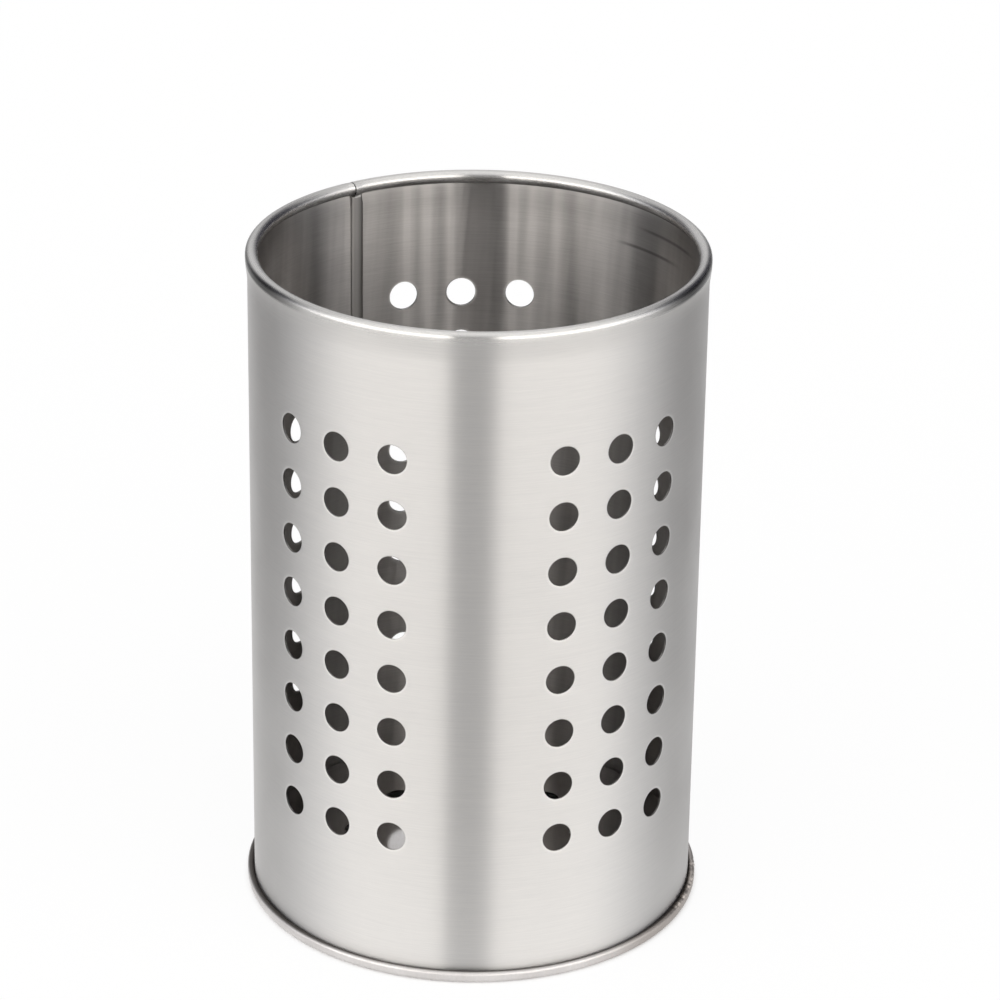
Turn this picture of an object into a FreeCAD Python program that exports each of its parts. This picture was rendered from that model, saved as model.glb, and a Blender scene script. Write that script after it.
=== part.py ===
import FreeCAD, Part
import math
import os

# Utensil holder of sheet steel: a punched wall, rolled to a tube and closed by a folded lock seam, and a
# pressed base pan that is double seamed to its lower edge. The origin is the middle of the base on the
# table, +Z is up and the plain gap between two groups of holes faces -Y. Angles run from -Y towards +X.

# Driving dimensions, in millimetres and degrees
height = 180.0               # table to the top of the rim
wall_diameter = 117.4        # outside of the plain wall
sheet = 0.5                  # thickness of both sheets

rim_bead = 3.0               # outside diameter of the rolled rim
rim_stand_out = 0.5          # how far the rim stands out beyond the wall
rim_neck = 1.2               # height over which the wall leans out to the rim
rim_neck_bend = 1.0          # middle radius of the two bends of that neck
rim_joint_gap = 0.6          # opening of the rim where its two ends meet over the lock seam

lock_angle = 214.1           # middle of the lock seam
lock_overlap = 1.56          # length over which its two hooks hold each other
lock_clearance = 0.08        # between its layers, and from the rolled rim's edge to the wall
lock_end_gap = 0.8           # from the ends of its hooks to the rim's neck above and to the floor below
lock_step_bend = 0.4         # middle radius of the bends that lift the wall over the lock

base_seam_overlap = 0.74     # height over which the two hooks of the double seam hold each other
base_seam_clearance = 0.12   # between its layers
foot_width = 0.8             # flat ring under the double seam, which the holder stands on
floor_height = 8.5           # table to the top of the floor
floor_edge_radius = 1.5      # outside radius of the edge of the floor

hole_diameter = 8.0
hole_row_pitch = 15.0
hole_column_pitch = 16.0     # along the outside of the wall
hole_columns = 3             # in each group
hole_groups = 5
top_row_drop = 35.0          # top of the rim to the middle of the top row
bottom_row_margin = 40.0     # least height of the middle of the bottom row
lock_gap_angle = 65.6        # between the two groups on either side of the lock seam
lock_off_centre = 3.4        # how far the lock seam lies from the middle of that gap

drain_hole_diameter = 8.0
drain_ring_diameter = 62.0
drain_holes = 9              # in the ring, with one more in the middle
drain_first_angle = 180.0

tiny = 1e-6                  # lengths and counts closer than this are the same

# Sizes worked out from them
half_sheet = sheet / 2
wall_outside = wall_diameter / 2
wall_middle = wall_outside - half_sheet
wall_inside = wall_outside - sheet
turn = 2 * math.pi * wall_middle

rim_bend = rim_bead / 2 - half_sheet
rim_outer_line = wall_middle + rim_stand_out
rim_inner_line = rim_outer_line - 2 * rim_bend
rim_top_line = height - half_sheet
rim_bottom_line = rim_top_line - 2 * rim_bend
neck_bottom = height - rim_bead - rim_neck

lock_layer = sheet + lock_clearance
lock_width = lock_overlap + 3 * lock_layer + sheet
lock_left = half_sheet - lock_width / 2
lock_step = lock_width / 2 - half_sheet
lock_right = lock_step - lock_layer
lock_top = neck_bottom - lock_end_gap
lock_bottom = floor_height + lock_end_gap

seam_layer = sheet + base_seam_clearance
chuck_line = wall_middle - seam_layer
end_hook_line = wall_middle + seam_layer
body_hook_line = end_hook_line + seam_layer
seam_outer_line = body_hook_line + seam_layer
base_line = half_sheet
body_fold_line = base_line + seam_layer
end_hook_tip = body_fold_line + seam_layer
body_hook_tip = end_hook_tip + base_seam_overlap
seam_top_line = body_hook_tip + seam_layer
floor_line = floor_height - half_sheet
foot_bend = (seam_outer_line - chuck_line - foot_width) / 2

hole_rows = 1 + math.floor((height - top_row_drop - bottom_row_margin) / hole_row_pitch + tiny)
group_step = (360 - lock_gap_angle) / (hole_groups - 1)
first_group_angle = lock_angle + lock_gap_angle / 2 + lock_off_centre


def radial(angle):
    """Unit vector that points outwards at an angle counted from -Y towards +X."""
    turned = math.radians(angle - 90)
    return FreeCAD.Vector(math.cos(turned), math.sin(turned), 0)


def in_profile(radius, up):
    """A point of a profile that is revolved about the axis."""
    return FreeCAD.Vector(radius, 0, up)


def in_plan(along, inward):
    """A point of the wall's plan: along its middle line from the lock seam, and inwards from that line."""
    angle = lock_angle + math.degrees(along / wall_middle)
    return radial(angle) * (wall_middle - inward)


def edge_through(start, middle, end):
    """An arc through three points, or a straight edge where they are in line."""
    chord = end - start
    if middle.distanceToLine(start, chord) < tiny:
        return Part.makeLine(start, end)
    return Part.Arc(start, middle, end).toShape()


def bent_sheet(corners, bends, place):
    """Face of a bent sheet, whose middle line passes the corners, each rounded by a bend's middle radius."""
    points = [FreeCAD.Vector(across, up, 0) for across, up in corners]
    runs = [(b - a).normalize() for a, b in zip(points, points[1:])]
    lefts = [FreeCAD.Vector(-run.y, run.x, 0) for run in runs]

    def side(offset):
        pieces = []
        start = points[0] + lefts[0] * offset
        for corner, bend, before, after, left, next_left in zip(
            points[1:], bends, runs, runs[1:], lefts, lefts[1:]
        ):
            turned = math.atan2(before.cross(after).z, before.dot(after))
            setback = bend * math.tan(abs(turned) / 2)
            arc_start = corner - before * setback + left * offset
            arc_end = corner + after * setback + next_left * offset
            outwards = (before - after).normalize()
            hand = math.copysign(1, turned)
            middle_line = corner + outwards * (bend - bend / math.cos(turned / 2))
            arc_middle = middle_line - outwards * hand * offset
            pieces.append((start, (start + arc_start) / 2, arc_start))
            pieces.append((arc_start, arc_middle, arc_end))
            start = arc_end
        end = points[-1] + lefts[-1] * offset
        pieces.append((start, (start + end) / 2, end))
        return pieces

    left_side = side(half_sheet)
    right_side = [piece[::-1] for piece in reversed(side(-half_sheet))]
    last, first = left_side[-1][-1], left_side[0][0]
    end_cap = (last, (last + right_side[0][0]) / 2, right_side[0][0])
    start_cap = (right_side[-1][-1], (right_side[-1][-1] + first) / 2, first)
    outline = []
    for piece in left_side + [end_cap] + right_side + [start_cap]:
        if piece[0].distanceToPoint(piece[2]) > tiny:
            outline.append(edge_through(*[place(point.x, point.y) for point in piece]))
    return Part.Face(Part.Wire(outline))


def open_ring(face, first_along):
    """Revolves a profile once round, less the gap at the lock seam that starts first_along its middle."""
    gap = math.degrees(rim_joint_gap / wall_middle)
    ring = face.revolve(FreeCAD.Vector(), FreeCAD.Vector(0, 0, 1), 360 - gap)
    start = lock_angle - 90 + math.degrees(first_along / wall_middle) + gap
    return ring.rotate(FreeCAD.Vector(), FreeCAD.Vector(0, 0, 1), start)


def wall_tube():
    """The wall between its ends, with both upright edges hooked into each other inside the tube."""
    corners = [
        (lock_right - lock_layer, lock_layer),
        (lock_left, lock_layer),
        (lock_left, 3 * lock_layer),
        (lock_step, 3 * lock_layer),
        (lock_step, 0),
        (turn + lock_right, 0),
        (turn + lock_right, 2 * lock_layer),
        (turn + lock_left + lock_layer, 2 * lock_layer),
    ]
    hook = lock_layer
    step = lock_step_bend
    plan = bent_sheet(corners, [hook, hook, step, step, hook, hook], in_plan)
    plan.translate(FreeCAD.Vector(0, 0, lock_bottom))
    return plan.extrude(FreeCAD.Vector(0, 0, lock_top - lock_bottom))


def rolled_rim():
    """The wall above the lock seam: a short neck that leans out and the edge rolled inwards."""
    corners = [
        (wall_middle, lock_top),
        (wall_middle, neck_bottom),
        (rim_outer_line, neck_bottom + rim_neck),
        (rim_outer_line, rim_top_line),
        (rim_inner_line, rim_top_line),
        (rim_inner_line, rim_bottom_line),
        (rim_outer_line - half_sheet - lock_clearance, rim_bottom_line),
    ]
    bends = [rim_neck_bend, rim_neck_bend, rim_bend, rim_bend, rim_bend]
    return open_ring(bent_sheet(corners, bends, in_profile), lock_right - lock_layer)


def body_hook():
    """The wall below the lock seam, folded out and up inside the base seam."""
    corners = [
        (wall_middle, lock_bottom),
        (wall_middle, body_fold_line),
        (body_hook_line, body_fold_line),
        (body_hook_line, body_hook_tip),
    ]
    profile = bent_sheet(corners, [seam_layer, seam_layer], in_profile)
    return open_ring(profile, lock_right - lock_layer)


def wall_holes():
    """Punches for the groups of holes in the wall."""
    punches = []
    reach = wall_outside - wall_inside + hole_diameter
    column_step = math.degrees(hole_column_pitch / wall_outside)
    for group in range(hole_groups):
        group_angle = first_group_angle + group * group_step
        for column in range(hole_columns):
            angle = group_angle + (column - (hole_columns - 1) / 2) * column_step
            out = radial(angle)
            for row in range(hole_rows):
                foot = out * (wall_middle - reach / 2)
                foot.z = height - top_row_drop - row * hole_row_pitch
                punches.append(Part.makeCylinder(hole_diameter / 2, reach, foot, out))
    return punches


def wall_sheet():
    """The whole wall: tube, rim and body hook are one sheet, punched with the groups of holes."""
    whole = wall_tube().fuse([rolled_rim(), body_hook()]).removeSplitter()
    return whole.cut(wall_holes())


def base_pan():
    """The base: floor, the wall that drops inside the holder, and the edge rolled up round the body hook."""
    corners = [
        (0, floor_line),
        (chuck_line, floor_line),
        (chuck_line, base_line),
        (seam_outer_line, base_line),
        (seam_outer_line, seam_top_line),
        (end_hook_line, seam_top_line),
        (end_hook_line, end_hook_tip),
    ]
    floor_bend = floor_edge_radius - half_sheet
    bends = [floor_bend, foot_bend, foot_bend, seam_layer, seam_layer]
    profile = bent_sheet(corners, bends, in_profile)
    pan = profile.revolve(FreeCAD.Vector(), FreeCAD.Vector(0, 0, 1), 360)
    middle = FreeCAD.Vector(0, 0, floor_height - 2 * sheet)
    punches = [Part.makeCylinder(drain_hole_diameter / 2, 3 * sheet, middle)]
    for number in range(drain_holes):
        out = radial(drain_first_angle + number * 360 / drain_holes)
        foot = middle + out * (drain_ring_diameter / 2)
        punches.append(Part.makeCylinder(drain_hole_diameter / 2, 3 * sheet, foot))
    return pan.cut(punches)


os.makedirs("parts", exist_ok=True)
for name, shape in (("wall_sheet", wall_sheet()), ("base_pan", base_pan())):
    solids = shape.Solids
    box = shape.optimalBoundingBox()
    print(name, "solids", len(solids), "valid", shape.isValid(), "volume", round(shape.Volume, 1))
    print("  from", [round(v, 3) for v in (box.XMin, box.YMin, box.ZMin)])
    print("  to", [round(v, 3) for v in (box.XMax, box.YMax, box.ZMax)])
    shape.exportStep(f"parts/{name}.step")
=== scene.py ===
import math
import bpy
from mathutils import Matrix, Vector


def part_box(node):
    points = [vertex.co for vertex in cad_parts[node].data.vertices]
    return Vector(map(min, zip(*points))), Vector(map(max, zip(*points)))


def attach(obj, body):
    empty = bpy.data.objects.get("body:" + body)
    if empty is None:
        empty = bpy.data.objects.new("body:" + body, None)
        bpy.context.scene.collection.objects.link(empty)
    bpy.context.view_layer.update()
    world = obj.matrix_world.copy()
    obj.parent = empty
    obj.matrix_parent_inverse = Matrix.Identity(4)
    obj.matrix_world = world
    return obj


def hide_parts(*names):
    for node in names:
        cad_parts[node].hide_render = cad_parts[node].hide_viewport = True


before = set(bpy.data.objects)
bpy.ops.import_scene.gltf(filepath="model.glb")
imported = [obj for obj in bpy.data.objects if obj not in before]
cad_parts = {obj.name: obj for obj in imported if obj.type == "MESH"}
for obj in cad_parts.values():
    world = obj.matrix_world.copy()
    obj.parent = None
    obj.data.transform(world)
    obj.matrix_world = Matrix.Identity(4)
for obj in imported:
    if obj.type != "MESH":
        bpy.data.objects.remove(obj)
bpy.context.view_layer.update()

from types import SimpleNamespace

import bpy
import numpy as np
from bpy.props import FloatProperty, FloatVectorProperty, IntProperty, PointerProperty
from mathutils import Matrix, Vector

bl_info = {
    "name": "Perforated utensil holder",
    "version": (1, 0, 0),
    "blender": (4, 5, 0),
    "location": "3D View > Sidebar > Holder",
    "description": "Builds a brushed steel utensil holder with punched holes around its packed frame",
    "category": "Add Mesh",
}

WALL_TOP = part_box("wall_sheet")[1]
BASE_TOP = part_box("base_pan")[1]
MM = 0.001
TINY = 1e-6

# Fineness of the meshes, in steps along the flat sheets
CELL_STEPS = 8
GAP_COLUMNS = 14
START_COLUMNS = 6
END_COLUMNS = 4
FLAP_COLUMNS = 30
JOINT_COLUMNS = 4
HOOK_ROWS = 12
FOOT_ROWS = 8
PLAIN_ROWS = 4
NECK_ROWS = 28
RIM_ROWS = 48
JOINT_SLIT_ROWS = 1
RAMP_COLUMNS = 8
BASE_COLUMNS = 240
COLUMN_CROWDING = 0.85
FLOOR_ROWS = 3
SEAM_ROWS = 84
DRAIN_STEPS = 40
SHARP_EDGE = math.radians(40)


# Properties

def length(millimetres, description):
    """A size of the holder, written in millimetres and kept in metres."""
    return FloatProperty(description=description, default=millimetres * MM, unit="LENGTH", precision=5)


def angle(degrees, description):
    """An angle, or a place counted from the front towards +X, written in degrees and kept in radians."""
    return FloatProperty(description=description, default=math.radians(degrees), subtype="ANGLE")


def count(number, description):
    """How many copies of something there are."""
    return IntProperty(description=description, default=number, min=1)


def share(value, description):
    """A number from 0 to 1."""
    return FloatProperty(description=description, default=value, min=0, max=1, subtype="FACTOR")


def level(value, description):
    """A strength of light."""
    return FloatProperty(description=description, default=value, min=0)


def colour(value, description):
    """A colour in linear light."""
    return FloatVectorProperty(description=description, default=value, size=3, min=0, max=1, subtype="COLOR")


class HolderSizes(bpy.types.PropertyGroup):
    """Sizes of the folded steel sheets."""

    height: length(WALL_TOP.z / MM, "Table to the top of the rim")
    wall_diameter: length(117.4, "Outside of the plain wall")
    sheet: length(0.5, "Thickness of both sheets")

    rim_bead: length(3.0, "Outside diameter of the rolled rim")
    rim_stand_out: length(0.5, "How far the rim stands out beyond the wall")
    rim_neck: length(4.0, "Height over which the wall leans out to the rim")
    rim_neck_bend: length(20.0, "Middle radius of the bends of that neck")
    rim_joint_gap: length(0.32, "Opening of the rim over the lock seam")
    rim_joint_shift: length(1.2, "From the end of the lock to that opening")
    rim_sag: length(0.5, "How far the rolled edge hangs down inside")
    rim_joint_swell: length(0.7, "How much more it hangs down at its last end")
    rim_joint_reach: length(3.6, "Length over which it does so")

    lock_angle: angle(214.1, "Middle of the lock seam")
    lock_overlap: length(1.56, "Length over which its two hooks hold each other")
    lock_clearance: length(0.08, "Between the layers of the lock")
    lock_end_gap: length(0.8, "From the lock to the rolled rim and to the floor")
    lock_step_bend: length(0.4, "Middle radius of the bends over the lock")
    lock_press: share(0.42, "Height of the lock after pressing, as a share")
    lock_droop: share(0.3, "Share of it that is lost towards its round edge")
    lock_ramp: length(0.24, "How far the wall rises beside the lock")
    lock_ramp_reach: length(2.0, "Length over which it rises")

    base_seam_overlap: length(0.74, "Height over which its hooks hold each other")
    base_seam_clearance: length(0.12, "Between the layers of the base seam")
    foot_width: length(0.8, "Flat ring under the base seam")
    floor_height: length(BASE_TOP.z / MM, "Table to the top of the floor")
    floor_edge_radius: length(1.5, "Outside radius of the edge of the floor")

    hole_diameter: length(8.0, "Diameter of the holes in the wall")
    hole_row_pitch: length(15.0, "Height between rows of holes")
    hole_column_pitch: length(16.0, "Distance of columns of holes along the outside")
    hole_rows: count(8, "Rows of holes")
    hole_columns: count(3, "Columns of holes in each group")
    hole_groups: count(5, "Groups of holes round the wall")
    top_row_drop: length(35.0, "Top of the rim to the middle of the top row")
    lock_gap_angle: angle(65.6, "Between the groups beside the lock seam")
    lock_off_centre: angle(3.4, "From the middle of that gap to the lock seam")
    edge_roll: length(0.15, "Width of the rounding round a punched hole")
    edge_depth: length(0.04, "Depth of that rounding")
    # The ring round a hole is polished, and a painted sheen lightens its colour
    edge_halo: length(0.55, "Width of the rubbed ring round a hole")

    drain_diameter: length(8.0, "Diameter of the holes in the floor")
    drain_ring: length(62.0, "Diameter of the ring of holes in the floor")
    drain_holes: count(9, "Holes in that ring, with one more in the middle")
    drain_first_angle: angle(180.0, "First hole of the ring")
    floor_disc: length(45.0, "Radius of the flat middle of the floor")
    pleat_depth: length(0.34, "Depth of small pleats in the base seam")
    pleat_pitch: length(2.0, "Distance of the pleats along the seam")
    pleat_angle: angle(77.0, "Middle of the pleated part")
    pleat_spread: angle(18.0, "Half length of the pleated part")
    hook_crush: share(0.6, "How far the pleats press the wall's hook down")


class HolderFinish(bpy.types.PropertyGroup):
    """Colours and surface of the steel."""

    wall_light: colour((0.69, 0.675, 0.655), "Brushed steel along the bright strokes")
    wall_dark: colour((0.59, 0.58, 0.57), "Brushed steel along the dull strokes")
    # Between these two the inside colour follows painted upright streaks of reflected light and shade
    inside_light: colour((0.66, 0.632, 0.61), "Duller steel inside, in its bright streaks")
    inside_dark: colour((0.33, 0.316, 0.306), "Duller steel inside, in its dull streaks")
    streak_width: length(9.0, "Width of the upright streaks inside")
    wave_depth: length(0.12, "Depth of the faint waves along those streaks")
    # Painted shade on the folded strip of the lock seam
    lock_shade: colour((0.37, 0.355, 0.34), "Dull folded strip of the lock seam")
    # This colour darkens the cut faces, and is also the painted shade at the round edge of the lock strip
    cut_and_shade_colour: colour((0.12, 0.115, 0.11), "Dull cut edge of the sheet")
    rim_roughness: share(0.27, "Mean roughness of the rolled rim")
    # Strength of the painted shade in the hollow under the rim, at the left and right sides
    rim_shade: share(0.95, "Dullness of the hollow under the rim")
    wall_roughness: share(0.375, "Mean roughness of the brushed wall")
    wall_anisotropy: share(1.0, "How far brushing draws out reflections")
    stroke_length: length(14.0, "Length of a brush stroke along the wall")
    stroke_width: length(0.3, "Width of a brush stroke")
    smudge_size: length(22.0, "Size of faint marks on the wall")
    base_light: colour((0.68, 0.66, 0.65), "Bright rolled steel of the base")
    base_dark: colour((0.5, 0.48, 0.47), "Rubbed steel of the base")
    base_roughness: share(0.07, "Mean roughness of the floor of the base")
    seam_roughness: share(0.52, "Mean roughness of the base seam")
    worn_colour: colour((0.3, 0.265, 0.24), "Worn, browned part of the base seam")
    # Painted shade in the groove between the base seam and the wall
    groove_shade_colour: colour((0.05, 0.042, 0.036), "Groove between the base seam and the wall")


class HolderStage(bpy.types.PropertyGroup):
    """Camera and light."""

    camera_place: FloatVectorProperty(
        description="Where the camera stands",
        default=(0.00120, -0.94663, 0.53828),
        subtype="TRANSLATION",
        unit="LENGTH",
    )
    camera_yaw: angle(0.3092, "Turn of the camera towards +X")
    camera_pitch: angle(24.3586, "How far the camera looks down")
    camera_roll: angle(0.8730, "Turn about its own line of sight")
    camera_lens: FloatProperty(description="Focal length in millimetres", default=143.59, unit="CAMERA")
    floor_size: length(8000.0, "Side of the pale floor")
    floor_drop: length(0.1, "How far the floor lies under the foot ring")
    floor_colour: colour((0.6, 0.6, 0.6), "Pale floor")
    white_colour: colour((0.95, 0.95, 0.95), "White part of the floor, round the holder")
    floor_glow: share(0.9, "Share of plain white in what is seen of that part")
    white_half_width: length(140.0, "How far the white part goes to either side")
    white_spread: share(0.13, "How much wider it gets towards the rear")
    white_front: length(62.0, "How far the white part goes to the front")
    white_fade: length(100.0, "Width of the soft edge of the white part")
    shade_radius: length(62.0, "Edge of the dark space under the holder")
    shade_fade: length(3.0, "Softness of that edge")
    studio_level: level(3.6, "Strength of the two panels")
    panel_colour: colour((1.0, 0.975, 0.945), "Tint of the two panels")
    shade_colour: colour((0.012, 0.012, 0.016), "Dark of the gap and of the rear")
    panel_inner: angle(58.0, "Where the panels begin to fade towards the rear")
    panel_outer: angle(130.0, "Where they end")
    panel_lean: angle(40.0, "How much sooner they end high up")
    rear_colour: colour((0.224, 0.224, 0.226), "Tint of the panel behind the holder")
    rear_start: angle(130.0, "Where the rear panel begins on the -X side")
    rear_end: angle(156.0, "Where it begins on the +X side")
    rear_fade: angle(22.0, "Softness of its edges")
    panel_edge_colour: colour((0.93, 0.955, 1.0), "Tint of the far edges of the panels")
    side_start: angle(55.0, "Where the dark sides begin")
    side_end: angle(85.0, "Where they are full")
    side_fade_start: share(0.5, "Sine of the height where the sides begin to fade")
    side_fade_end: share(0.78, "Sine of the height where only the ceiling is left")
    ceiling_edge: colour((0.64, 0.64, 0.64), "Tint of the ceiling's edge")
    gap_start: angle(-13.2, "Edge of the dark gap on the -X side")
    gap_start_fade: angle(1.0, "Softness of that edge")
    gap_end: angle(13.5, "Edge of the dark gap on the +X side")
    gap_end_fade: angle(8.0, "Softness of that edge")
    gap_low: share(0.25, "How much of the panels shows in the gap low down")
    ceiling_level: level(1.25, "Strength of the ceiling")
    panel_fade_start: share(0.30, "Sine of the height where the panels begin to fade")
    panel_fade_end: share(0.65, "Sine of the height where only the ceiling is left")


# Node trees

class Signal:
    """A socket of a node tree. Arithmetic on it adds Math nodes to that tree."""

    def __init__(self, draw, socket):
        self.draw = draw
        self.socket = socket

    def math(self, operation, *values):
        return self.draw.node("ShaderNodeMath", {"operation": operation}, dict(enumerate(values)))

    def output(self, name):
        return Signal(self.draw, self.socket.node.outputs[name])

    def __add__(self, other):
        return self.math("ADD", self, other)

    def __radd__(self, other):
        return self.math("ADD", other, self)

    def __sub__(self, other):
        return self.math("SUBTRACT", self, other)

    def __rsub__(self, other):
        return self.math("SUBTRACT", other, self)

    def __mul__(self, other):
        return self.math("MULTIPLY", self, other)

    def __rmul__(self, other):
        return self.math("MULTIPLY", other, self)

    def __truediv__(self, other):
        return self.math("DIVIDE", self, other)

    def __abs__(self):
        return self.math("ABSOLUTE", self)

    def __mod__(self, other):
        return self.math("FLOORED_MODULO", self, other)

    def clamp(self, low, high):
        return self.draw.node("ShaderNodeClamp", {}, {"Value": self, "Min": low, "Max": high})

    def ease(self, low, high):
        """0 below low and 1 above high, with a smooth step between them."""
        sockets = {"Value": self, "From Min": low, "From Max": high}
        return self.draw.node("ShaderNodeMapRange", {"interpolation_type": "SMOOTHSTEP"}, sockets)

    def between(self, rise, fall):
        """1 from the end of the rise to the start of the fall, with smooth steps there."""
        return self.ease(*rise) * (1 - self.ease(*fall))


# Places of the colour sockets of a Mix node
MIX_COLOUR_A = 6
MIX_COLOUR_B = 7
MIX_COLOUR_RESULT = 2


class Drawing:
    """Adds nodes to one tree."""

    def __init__(self, tree):
        self.tree = tree

    def node(self, kind, settings, sockets, output=0):
        """Adds a node, sets its settings, then fills its sockets with values, signals or lists of signals."""
        made = self.tree.nodes.new(kind)
        for name, value in settings.items():
            setattr(made, name, value)
        for key, value in sockets.items():
            for one in value if isinstance(value, list) else [value]:
                if isinstance(one, Signal):
                    self.tree.links.new(one.socket, made.inputs[key])
                else:
                    made.inputs[key].default_value = one
        return Signal(self, made.outputs[output]) if made.outputs else made

    def vector(self, x, y, z):
        return self.node("ShaderNodeCombineXYZ", {}, {"X": x, "Y": y, "Z": z})

    def parts(self, vector):
        split = self.node("ShaderNodeSeparateXYZ", {}, {"Vector": vector})
        return split, split.output("Y"), split.output("Z")

    def mix(self, factor, low, high):
        """A colour between two colours."""
        a, b = (value if isinstance(value, Signal) else (*value, 1) for value in (low, high))
        sockets = {"Factor": factor, MIX_COLOUR_A: a, MIX_COLOUR_B: b}
        return self.node("ShaderNodeMix", {"data_type": "RGBA"}, sockets, MIX_COLOUR_RESULT)

    def noise(self, place, detail, roughness):
        sockets = {"Vector": place, "Scale": 1, "Detail": detail, "Roughness": roughness}
        return self.node("ShaderNodeTexNoise", {}, sockets)

    def object_place(self):
        """X, Y and Z of a point of a surface."""
        return self.parts(self.node("ShaderNodeTexCoord", {}, {}, "Object"))

    def mesh_place(self):
        """X, Y and Z of a point of the geometry that a node works on."""
        return self.parts(self.node("GeometryNodeInputPosition", {}, {}))

    def grid(self, columns, rows, width=1, height=1):
        """A flat grid about the origin, with some columns and rows of faces."""
        sockets = {"Size X": width, "Size Y": height, "Vertices X": columns + 1, "Vertices Y": rows + 1}
        return self.node("GeometryNodeMeshGrid", {}, sockets)

    def shift(self, geometry, offset):
        return self.node("GeometryNodeTransform", {}, {"Geometry": geometry, "Translation": offset})

    def reshape(self, geometry, place):
        return self.node("GeometryNodeSetPosition", {}, {"Geometry": geometry, "Position": place})

    def copies(self, points, instance):
        return self.node("GeometryNodeInstanceOnPoints", {}, {"Points": points, "Instance": instance})

    def join(self, geometries):
        return self.node("GeometryNodeJoinGeometry", {}, {"Geometry": geometries})

    def real(self, geometry):
        return self.node("GeometryNodeRealizeInstances", {}, {"Geometry": geometry})

    def weld(self, geometry):
        return self.node("GeometryNodeMergeByDistance", {}, {"Geometry": geometry, "Distance": TINY})


SOCKET_KINDS = {float: "NodeSocketFloat", int: "NodeSocketInt", bpy.types.Material: "NodeSocketMaterial"}


def geometry_tree(name, values):
    """A tree with an input for each value, and a drawing of it with the signals of these inputs."""
    tree = bpy.data.node_groups.new(name, "GeometryNodeTree")
    for one, value in values.items():
        tree.interface.new_socket(one, in_out="INPUT", socket_type=SOCKET_KINDS[type(value)])
    tree.interface.new_socket("Geometry", in_out="OUTPUT", socket_type="NodeSocketGeometry")
    draw = Drawing(tree)
    entry = draw.node("NodeGroupInput", {}, {})
    return tree, draw, SimpleNamespace(**{one: entry.output(one) for one in values})


def thicken(draw, flat, sheet, material):
    """Gives a flat sheet its thickness and finish, and makes it the tree's result."""
    low = draw.shift(draw.weld(flat), draw.vector(0, 0, sheet * -0.5))
    sockets = {"Mesh": low, "Offset": (0, 0, 1), "Offset Scale": sheet, "Individual": False}
    raised = draw.node("GeometryNodeExtrudeMesh", {"mode": "FACES"}, sockets)
    under = draw.node("GeometryNodeFlipFaces", {}, {"Mesh": low})
    closed = draw.weld(draw.join([raised, under]))
    smooth = draw.node("GeometryNodeSetShadeSmooth", {}, {"Geometry": closed})
    finished = draw.node("GeometryNodeSetMaterial", {}, {"Geometry": draw.real(smooth), "Material": material})
    draw.node("NodeGroupOutput", {}, {"Geometry": finished})


def plain_mesh(name, tree, values):
    """An object that holds what a tree makes as its own plain mesh."""
    piece = bpy.data.objects.new(name, bpy.data.meshes.new(name))
    bpy.context.scene.collection.objects.link(piece)
    modifier = piece.modifiers.new(tree.name, "NODES")
    modifier.node_group = tree
    for item in tree.interface.items_tree:
        if item.in_out == "INPUT":
            modifier[item.identifier] = values[item.name]
    depsgraph = bpy.context.evaluated_depsgraph_get()
    made = bpy.data.meshes.new_from_object(
        piece.evaluated_get(depsgraph), preserve_all_data_layers=True, depsgraph=depsgraph
    )
    piece.modifiers.remove(modifier)
    piece.data = made
    if not made.polygons:
        raise RuntimeError(f"the tree {tree.name} made no faces")
    return piece


def picked(source, names):
    """Some named values of a source."""
    return {name: getattr(source, name) for name in names}


# Folding of sheets

class BentLine:
    """Middle line of a bent sheet: straight runs whose corners are rounded by a middle radius."""

    def __init__(self, corners, bends):
        points = [Vector(corner) for corner in corners]
        runs = [end - start for start, end in zip(points, points[1:])]
        headings = [math.atan2(run.y, run.x) for run in runs]
        turns = [math.remainder(after - before, math.tau) for before, after in zip(headings, headings[1:])]
        setbacks = [bend * math.tan(abs(turn) / 2) for bend, turn in zip(bends, turns)]
        self.starts = [0.0]
        self.points = [points[0]]
        self.headings = [headings[0]]
        self.curves = []
        self.run_starts = []
        for run, heading, before, after, turn, bend in zip(
            runs, headings, [0.0, *setbacks], [*setbacks, 0.0], [*turns, 0.0], [*bends, 1.0]
        ):
            self.run_starts.append(self.starts[-1])
            straight = run.length - before - after
            self.add_piece(straight, heading, 0.0)
            self.add_piece(bend * abs(turn), heading + turn, math.copysign(1 / bend, turn))
        self.length = self.starts[-1]

    def add_piece(self, reach, next_heading, curve):
        heading = self.headings[-1]
        if curve:
            across = math.sin(next_heading) - math.sin(heading)
            up = math.cos(heading) - math.cos(next_heading)
            step = Vector((across, up)) / curve
        else:
            step = Vector((math.cos(heading), math.sin(heading))) * reach
        self.curves.append(curve)
        self.starts.append(self.starts[-1] + reach)
        self.points.append(self.points[-1] + step)
        self.headings.append(next_heading)

    def at(self, lengths):
        """Points of the line at some lengths along it, and unit vectors to its left there."""
        last = len(self.curves) - 1
        piece = np.clip(np.searchsorted(self.starts, lengths, side="right") - 1, 0, last)
        beyond = lengths - np.array(self.starts)[piece]
        heading = np.array(self.headings)[piece]
        curve = np.array(self.curves)[piece]
        turned = heading + curve * beyond
        half_turn = curve * beyond / 2
        chord = beyond * np.sinc(half_turn / np.pi)
        points = np.array(self.points)[piece]
        across = points[:, 0] + chord * np.cos(heading + half_turn)
        up = points[:, 1] + chord * np.sin(heading + half_turn)
        return across, up, -np.sin(turned), np.cos(turned)


def read_points(piece):
    """The vertices of a piece as an array."""
    points = np.empty(len(piece.data.vertices) * 3, np.float32)
    piece.data.vertices.foreach_get("co", points)
    return points.reshape(-1, 3).astype(float)


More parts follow.
